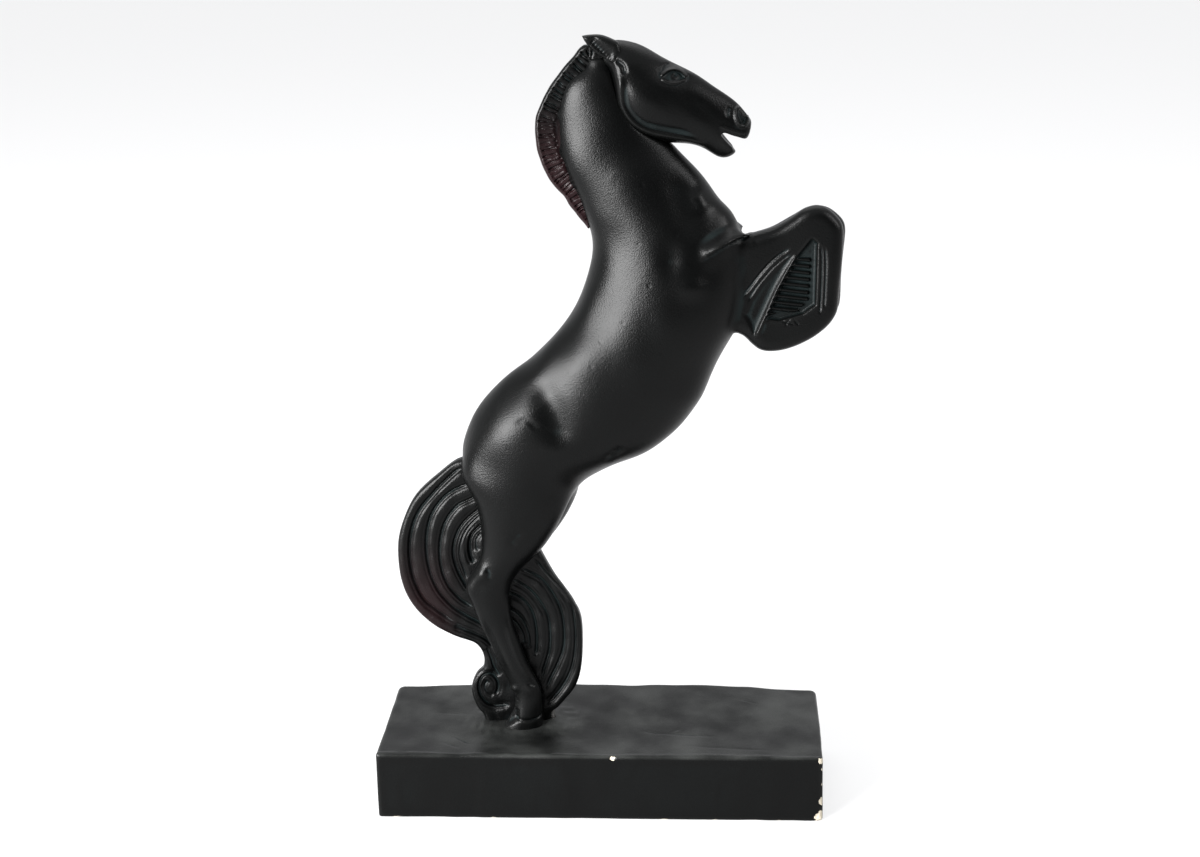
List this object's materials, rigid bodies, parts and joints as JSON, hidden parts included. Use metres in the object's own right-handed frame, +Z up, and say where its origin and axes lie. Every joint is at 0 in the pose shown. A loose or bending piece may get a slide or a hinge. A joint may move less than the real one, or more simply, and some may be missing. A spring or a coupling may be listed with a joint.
{
  "type": "horse statuette",
  "caption": "Rearing horse figurine with folded forelegs and a curled tail on a rectangular plinth, in a black bronze-look finish.",
  "frame": {"origin": "centre of the plinth's underside", "axes": "+X is the way the horse faces, +Y is its left side, +Z is up"},
  "size_m": [0.2402, 0.086, 0.4001],
  "materials": {
    "patinated_plaster": "satin",
    "plinth_plaster": "satin",
    "raw_plaster": "matte",
    "armature_steel": "satin",
    "zinc_fixings": "satin"
  },
  "bodies": {
    "root": {"plinth": "plinth_plaster", "trunk": "patinated_plaster", "head": "patinated_plaster", "right_ear": "patinated_plaster", "left_ear": "patinated_plaster", "right_foreleg": "patinated_plaster", "left_foreleg": "patinated_plaster", "right_hind_leg": "patinated_plaster", "left_hind_leg": "patinated_plaster", "mane": "patinated_plaster", "tail": "patinated_plaster", "spine_rod": "armature_steel", "right_hind_leg_rod": "armature_steel", "left_hind_leg_rod": "armature_steel", "armature_tie_plates": "armature_steel", "right_foreleg_dowel": "armature_steel", "left_foreleg_dowel": "armature_steel", "tail_root_dowel": "armature_steel", "tail_foot_pins": "armature_steel", "mane_pins": "armature_steel", "ear_pins": "armature_steel", "washers": "zinc_fixings", "nuts": "zinc_fixings", "pocket_plugs": "raw_plaster"}
  },
  "joints": []
}
